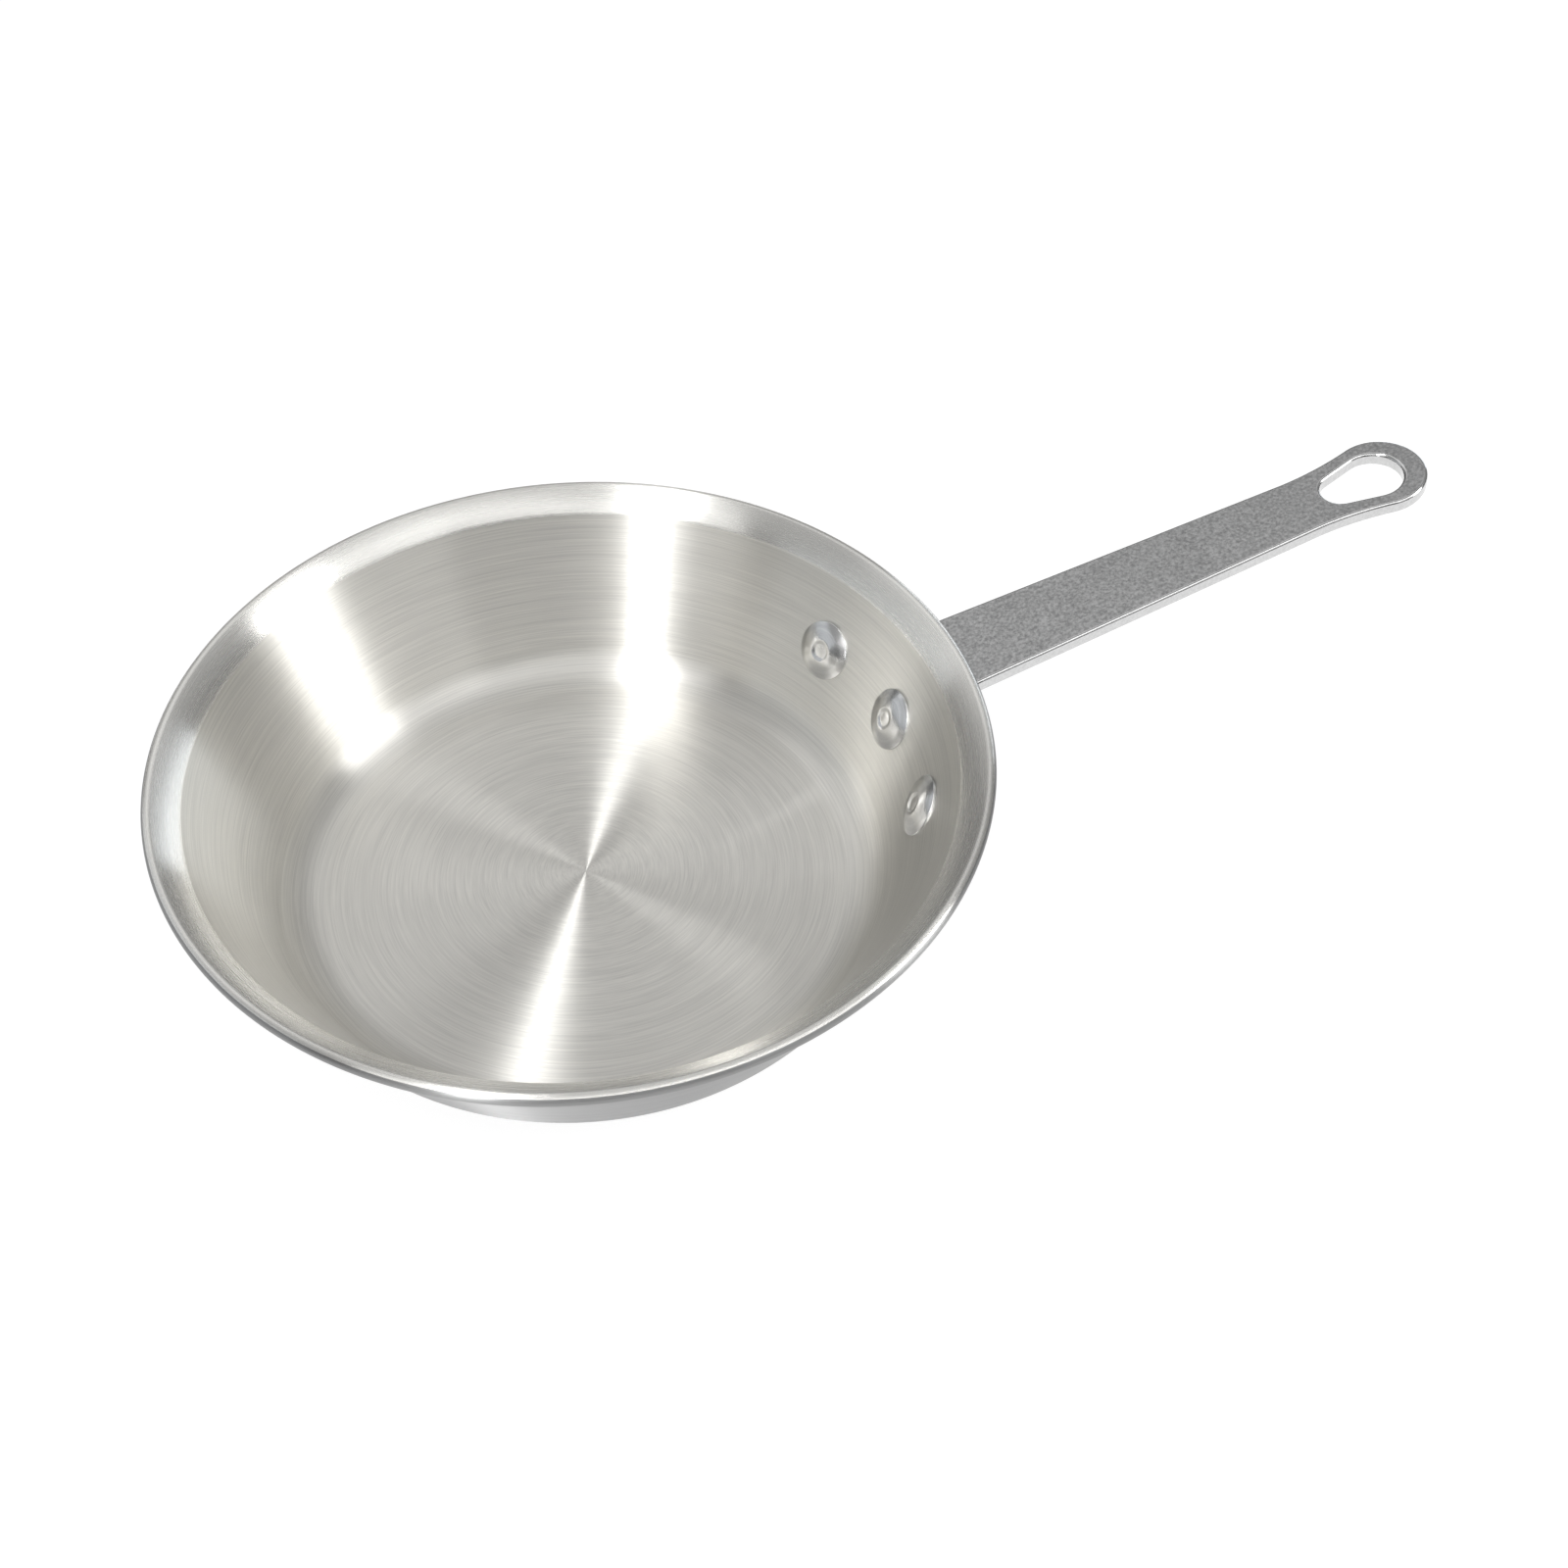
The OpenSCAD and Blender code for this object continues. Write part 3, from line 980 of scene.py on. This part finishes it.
@dataclass
class Plate:
    """A flat plate with rounded edges, from the outlines of its edge and its holes."""

    loops: list[np.ndarray]
    half: float
    rounds: list[float]
    round_steps: int
    grid: float = 0.0022
    margin: float = 0.0007
    merge_gap: float = 1e-9
    edge_faces: int = 0

    def loop_normals(self, loop: np.ndarray) -> np.ndarray:
        """Normals of a loop, which point out of the metal.

        Args:
            loop: The loop's points.

        Returns:
            A normal for each of them, one row each.
        """
        ahead = np.roll(loop, -1, axis=0) - loop
        ahead /= np.linalg.norm(ahead, axis=1, keepdims=True)
        way = ahead + np.roll(ahead, 1, axis=0)
        way /= np.linalg.norm(way, axis=1, keepdims=True)
        return np.stack([way[:, 1], -way[:, 0]], axis=1)

    def steps_of(self, edge: float) -> list[tuple[float, float, float, float]]:
        """How the edge runs from the upper face to the lower one.

        Args:
            edge: Radius of the rounding, or 0 for a sharp edge.

        Returns:
            For each ring of points how far in it lies, its height and its normal's two parts.
        """
        if edge == 0.0:
            return [(0.0, self.half, 1.0, 0.0), (0.0, -self.half, 1.0, 0.0)]
        turns = [math.pi / 2.0 * i / self.round_steps for i in range(self.round_steps + 1)]
        top = [(edge * (1.0 - math.sin(turn)), self.half - edge * (1.0 - math.cos(turn)),
                math.sin(turn), math.cos(turn)) for turn in turns]
        return top + [(inset, -height, out, -rise) for inset, height, out, rise in reversed(top)]

    def skin(self) -> Skin:
        """Makes the plate's closed skin.

        Returns:
            Its vertices, their normals and its faces.
        """
        points, normals, faces = [], [], []
        tops, bottoms = [], []
        for loop, edge in zip(self.loops, self.rounds, strict=True):
            ways = self.loop_normals(loop)
            count = len(loop)
            rings = []
            for inset, height, out, rise in self.steps_of(edge):
                rings.append(range(len(points), len(points) + count))
                for p, n in zip(loop, ways, strict=True):
                    points.append((*(p - inset * n), height))
                    normals.append((*(out * n), rise))
            for high, low in zip(rings[:-1], rings[1:], strict=True):
                faces += [(high[i], low[i], low[(i + 1) % count], high[(i + 1) % count])
                          for i in range(count)]
            tops.append(rings[0])
            bottoms.append(rings[-1])
        self.edge_faces = len(faces)
        self.cap(points, normals, faces, tops, 1.0)
        self.cap(points, normals, faces, bottoms, -1.0)
        return np.array(points), np.array(normals), faces

    def cap(self, points: list[Point], normals: list[Point], faces: Faces, loops: list[range],
            side: float) -> None:
        """Closes one face of the plate with even triangles.

        Args:
            points: The plate's vertices so far, to which the inner ones are added.
            normals: Their normals.
            faces: The plate's faces so far, to which the triangles are added.
            loops: The numbers of the vertices round the face and round its holes.
            side: 1 for the upper face, -1 for the lower one.
        """
        flat = [np.array([points[i][:2] for i in loop]) for loop in loops]
        numbers = [i for loop in loops for i in loop]
        edges, start = [], 0
        for loop in loops:
            edges += [(start + i, start + (i + 1) % len(loop)) for i in range(len(loop))]
            start += len(loop)
        inner = self.inner_points(flat)
        for p in inner:
            numbers.append(len(points))
            points.append((p[0], p[1], side * self.half))
            normals.append((0.0, 0.0, side))
        out_points, _, triangles, origins, _, _ = geometry.delaunay_2d_cdt(
            [Vector(p) for p in np.concatenate([*flat, inner])], edges, [], 0, self.merge_gap)
        middles = np.mean([[out_points[i] for i in triangle] for triangle in triangles], axis=1)
        for triangle, kept in zip(triangles, self.in_metal(flat, middles), strict=True):
            if kept:
                corners = [numbers[origins[i][0]] for i in triangle]
                faces.append(tuple(corners if side > 0 else reversed(corners)))

    def inner_points(self, flat: list[np.ndarray]) -> np.ndarray:
        """Points inside a face, in an even grid that keeps clear of its outlines.

        Args:
            flat: The outlines of the face and its holes.

        Returns:
            The points, one row each.
        """
        low, high = flat[0].min(axis=0), flat[0].max(axis=0)
        across = np.arange(low[0], high[0], self.grid)
        up = np.arange(-math.floor(high[1] / self.grid) * self.grid, high[1], self.grid)
        grid = np.array([(a, b) for a in across for b in up])
        border = np.concatenate(flat)
        clear = [np.min(np.linalg.norm(border - p, axis=1)) >= self.margin for p in grid]
        return grid[self.in_metal(flat, grid) & clear]

    @staticmethod
    def in_metal(flat: list[np.ndarray], places: np.ndarray) -> np.ndarray:
        """Which places lie in a face and not in its holes: from there a line crosses an odd count of edges.

        Args:
            flat: The outlines of the face and its holes.
            places: The places, one row each.

        Returns:
            True for each place in the metal.
        """
        crossed = np.zeros(len(places), int)
        x, y = places[:, 0:1], places[:, 1:2]
        for loop in flat:
            (ax, ay), (bx, by) = loop.T, np.roll(loop, -1, axis=0).T
            with np.errstate(divide="ignore", invalid="ignore"):
                crossing = ax + (y - ay) * (bx - ax) / (by - ay)
            crossed += np.sum(((ay > y) != (by > y)) & (x < crossing), axis=1)
        return crossed % 2 == 1


def looking_at(target: Vector, turn: float, height: float, roll: float, place: Point) -> Matrix:
    """Where something stands that looks at a target.

    Args:
        target: The target.
        turn: How far round it stands, counted from -Y.
        height: How high it stands, from level.
        roll: How far it is turned about its line of sight.
        place: How far it stands aside, above and back from the target, as it sees it.

    Returns:
        Its placement.
    """
    return (Matrix.Translation(target) @ Matrix.Rotation(math.radians(turn), 4, "Z")
            @ Matrix.Rotation(math.radians(90.0 - height), 4, "X")
            @ Matrix.Rotation(math.radians(roll), 4, "Z") @ Matrix.Translation(place))


@dataclass(frozen=True)
class Softbox:
    """A soft light: a rectangle that faces the pan.

    Its turn is counted from the camera's right, and all its angles are as the pan sees them.
    """

    name: str
    turn: float
    height: float
    width: float
    rise: float
    power: float
    roll: float = 0.0
    colour: Point = (1.0, 1.0, 1.0)
    distance: float = 1.2

    def build(self, target: Vector, camera_turn: float) -> None:
        """Hangs the light.

        Args:
            target: The point that it faces.
            camera_turn: The angle between the handle and the camera's right.
        """
        data = bpy.data.lights.new(self.name, "AREA")
        data.shape = "RECTANGLE"
        data.size, data.size_y = (2.0 * self.distance * math.tan(math.radians(angle / 2.0))
                                  for angle in (self.width, self.rise))
        data.energy = self.power
        data.color = self.colour
        made = bpy.data.objects.new(self.name, data)
        made.matrix_world = looking_at(target, self.turn - camera_turn + 90.0, self.height, self.roll,
                                       (0.0, 0.0, self.distance))
        bpy.context.scene.collection.objects.link(made)


@dataclass(frozen=True)
class Viewpoint:
    """The photograph's camera, whose place was worked out from the rim's outline."""

    turn: float = 22.75
    height: float = 47.122
    roll: float = 0.701
    aside: float = -0.051766
    above: float = 0.009652
    distance: float = 0.481756
    lens: float = 45.0
    sensor: float = 36.0
    near: float = 0.01
    far: float = 30.0

    def build(self, target: Vector) -> None:
        """Makes the camera.

        Args:
            target: The middle of the rim's top, which the other lengths are measured from.
        """
        data = bpy.data.cameras.new("camera")
        data.lens, data.sensor_width = self.lens, self.sensor
        data.clip_start, data.clip_end = self.near, self.far
        made = bpy.data.objects.new("camera", data)
        made.matrix_world = looking_at(target, -self.turn, self.height, self.roll,
                                       (-self.aside, -self.above, self.distance))
        bpy.context.scene.collection.objects.link(made)
        bpy.context.scene.camera = made


@dataclass
class Studio:
    """The white floor, the soft room light and the softboxes."""

    camera_turn: float
    floor_reach: float = 4.0
    floor_finish: FloorFinish = field(default_factory=FloorFinish)
    horizon: float = 0.03
    zenith: float = 0.48

    def softboxes(self) -> list[Softbox]:
        """The lights: soft fills all round, one for the near lip, and three strips for the bright rays."""
        # Each has its name, turn, height, width, rise and power.
        return [
            Softbox("top_front", -90.0, 70.0, 60.0, 24.0, 0.5),
            Softbox("front_left", -124.0, 46.0, 28.0, 28.0, 1.0),
            Softbox("lip_light", -45.0, 55.0, 90.0, 11.0, 4.6),
            Softbox("front_right", -30.0, 32.0, 34.0, 20.0, 0.7),
            Softbox("right_back", 55.0, 9.0, 30.0, 14.0, 1.2, colour=(0.88, 0.94, 1.0)),
            Softbox("back_high", 96.0, 54.0, 40.0, 20.0, 0.62),
            Softbox("back_left", 136.0, 40.0, 34.0, 34.0, 0.5),
            Softbox("left_low", 180.0, 22.0, 60.0, 24.0, 1.1, colour=(0.90, 0.95, 1.0)),
            Softbox("main_bar", -137.5, 68.8, 6.0, 48.6, 3.3, roll=32.4),
            Softbox("front_strip", -111.0, 34.0, 7.0, 34.0, 3.0),
            Softbox("right_strip", -2.0, 26.0, 20.0, 40.0, 3.6, roll=-15.0),
        ]

    def build_floor(self) -> None:
        """Makes the floor, level with the base."""
        points = self.floor_reach * np.array([(-1, -1, 0), (1, -1, 0), (1, 1, 0), (-1, 1, 0)])
        floor = mesh_object("floor", points, [(0, 1, 2, 3)], None, self.floor_finish.build("white_floor"))

    def build_room(self) -> None:
        """Makes the room's light, which is darker low down than overhead."""
        world = bpy.data.worlds.new("room")
        world.use_nodes = True
        bpy.context.scene.world = world
        graph = NodeGraph(world.node_tree)
        rise = graph.part(graph.node("TexCoord", output="Generated"), "Z")
        level = graph.ramp(rise, (0.0, 1.0), (self.horizon, self.zenith))
        light = graph.node("Background", {"Color": tone(1.0), "Strength": level})
        graph.node("OutputWorld", {"Surface": light})

    def build(self, target: Vector) -> None:
        """Builds the floor, the room and the softboxes.

        Args:
            target: The point that the softboxes face.
        """
        self.build_floor()
        self.build_room()
        for softbox in self.softboxes():
            softbox.build(target, self.camera_turn)


def main() -> None:
    """Builds the pan, its stage and the camera, in order."""
    logging.basicConfig(level=logging.INFO, format="%(message)s")
    bpy.context.scene.view_settings.view_transform = "Standard"
    bowl = Bowl.from_frame()
    rivets = Rivets(bowl)
    handle = Handle(bowl, rivets)
    target = Vector((0.0, 0.0, bowl.height))
    viewpoint = Viewpoint()
    viewpoint.build(target)
    Studio(viewpoint.turn).build(target)
    for piece in (bowl.build(), handle.build(), *rivets.build()):
        mesh = piece.data
        LOG.info("%s: %d vertices, %d faces", piece.name, len(mesh.vertices), len(mesh.polygons))


if __name__ == "__main__":
    main()
